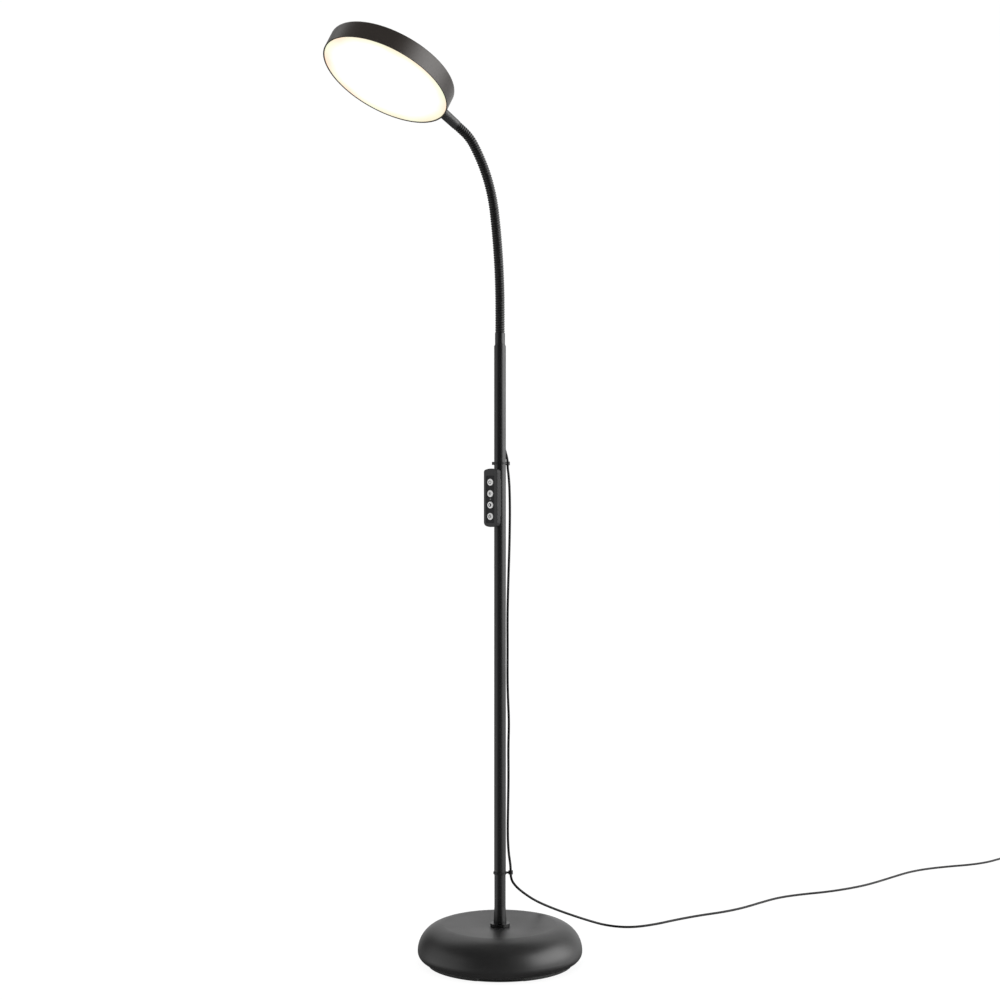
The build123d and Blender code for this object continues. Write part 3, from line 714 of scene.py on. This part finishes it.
def make_icon(button, bands):
    """Thin raised print on a button's crown, from bands given by their two edges."""
    vertices, faces = [], []
    for outer, inner in bands:
        first = len(vertices)
        count = len(outer)
        for height in (-icon_height, icon_height):
            vertices += [(x, y, height) for x, y in outer]
            vertices += [(x, y, height) for x, y in inner]
        low_out, low_in, top_out, top_in = (first + count * k for k in range(4))
        for k in range(count - 1):
            faces.append((top_out + k + 1, top_out + k, top_in + k, top_in + k + 1))
            faces.append((low_out + k, low_out + k + 1, low_in + k + 1, low_in + k))
            faces.append((low_out + k + 1, low_out + k, top_out + k, top_out + k + 1))
            faces.append((low_in + k, low_in + k + 1, top_in + k + 1, top_in + k))
        for k in (0, count - 1):
            end = (low_out + k, low_in + k, top_in + k, top_out + k)
            faces.append(end if k else tuple(reversed(end)))
    centre = panel_outward * panel_crown + up * middle_of(button).z
    matrix = place_matrix(centre, panel_across, panel_outward)
    icon = add_mesh(f"{button}_icon", [matrix @ Vector(place) for place in vertices], faces, smooth=False)
    icon.data.materials.append(icon_ink())
    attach(icon, button)


def make_icons():
    icons = [power_icon(), brightness_icon(), colour_icon(), timer_icon()]
    for button, bands in zip(button_names, icons):
        make_icon(button, bands)


# ---------------------------------------------------------------- studio
floor_half = 15.0
floor_glow = 0.91
floor_white = 0.2
floor_shade_radius = 0.1165
floor_shade_soft = 0.0015
backdrop_white = 1.02
soft_fill = 0.7

# Soft light round the lamp as its gloss sees it: brightness, azimuth range, its softness,
# elevation range, its softness. Azimuth is from the front, positive to the right.
light_fields = [
    (5.2, (48, 112), 16, (-1, 42), 5),
    (0.9, (35, 130), 22, (-28, -1), 6),
    (0.85, (-118, -52), 20, (-25, 30), 10),
    (0.78, (125, 260), 20, (-8, 30), 8),
    (0.66, (-260, -150), 16, (-8, 30), 8),
    (1.3, (120, 300), 20, (33, 62), 8),
    (1.3, (-300, -120), 20, (33, 62), 8),
    (0.12, (-400, 400), 1, (-25, -3), 6),
    (0.15, (-400, 400), 1, (62, 95), 8),
]
ambient_glow = 0.04


def soft_step(nodes, links, source, edge, softness):
    """0 below an angle and 1 above it, in degrees, with a soft change."""
    return map_range(nodes, links, source, radians(edge - softness), radians(edge + softness), smooth=True)


def soft_window(nodes, links, source, low, high, softness):
    """1 between two angles and 0 outside them, with a soft change at both."""
    rise = soft_step(nodes, links, source, low, softness)
    fall = soft_step(nodes, links, source, high, softness)
    return calculate(nodes, links, "SUBTRACT", rise, fall)


def make_world():
    """White for the camera, even fill for matt surfaces, and soft fields of light for gloss."""
    world = bpy.data.worlds.new("studio")
    world.use_nodes = True
    nodes, links = world.node_tree.nodes, world.node_tree.links
    direction = nodes.new("ShaderNodeSeparateXYZ")
    links.new(nodes.new("ShaderNodeTexCoord").outputs["Generated"], direction.inputs["Vector"])
    back = calculate(nodes, links, "MULTIPLY", direction.outputs["Y"], -1.0)
    azimuth = calculate(nodes, links, "ARCTAN2", direction.outputs["X"], back)
    elevation = calculate(nodes, links, "ARCSINE", direction.outputs["Z"])
    glow = ambient_glow
    for brightness, turn, turn_soft, height, height_soft in light_fields:
        across = soft_window(nodes, links, azimuth, *turn, turn_soft)
        upward = soft_window(nodes, links, elevation, *height, height_soft)
        field = calculate(nodes, links, "MULTIPLY", across, upward)
        glow = calculate(nodes, links, "MULTIPLY_ADD", field, brightness, glow)
    path = nodes.new("ShaderNodeLightPath").outputs
    seen = calculate(nodes, links, "MULTIPLY", path["Is Camera Ray"], backdrop_white)
    gloss = calculate(nodes, links, "MULTIPLY_ADD", path["Is Glossy Ray"], glow, seen)
    total = calculate(nodes, links, "MULTIPLY_ADD", path["Is Diffuse Ray"], soft_fill, gloss)
    links.new(total, nodes["Background"].inputs["Strength"])
    nodes["Background"].inputs["Color"].default_value = (1, 1, 1, 1)
    world.cycles.sampling_method = "NONE"
    bpy.context.scene.world = world


def make_floor():
    """White floor that glows, so that it shows no grey, except under the base, where a painted shadow cuts
    the glow off.
    """
    corners = [(-floor_half, -floor_half, 0), (floor_half, -floor_half, 0),
               (floor_half, floor_half, 0), (-floor_half, floor_half, 0)]
    floor = add_mesh("floor", corners, [(0, 1, 2, 3)], smooth=False)
    material, nodes, links, shader = new_material("floor_white")
    shader.inputs["Base Color"].default_value = (floor_white, floor_white, floor_white, 1)
    shader.inputs["Roughness"].default_value = 1.0
    shader.inputs["Specular IOR Level"].default_value = 0.0
    shader.inputs["Emission Color"].default_value = (1, 1, 1, 1)
    # Painted shadow: the glow drops to nothing within the base's footprint.
    distance = calculate_vector(nodes, links, "LENGTH", object_place(nodes))
    glow = map_range(nodes, links, distance, floor_shade_radius - floor_shade_soft,
                     floor_shade_radius + floor_shade_soft, last=floor_glow)
    links.new(glow, shader.inputs["Emission Strength"])
    material.cycles.emission_sampling = "NONE"
    floor.data.materials.append(material)
    floor.visible_glossy = False


def make_studio():
    make_world()
    make_floor()
    bpy.context.scene.view_settings.view_transform = "Standard"


make_camera()
make_cord()
make_neck()
make_icons()
finish_nodes()
make_studio()
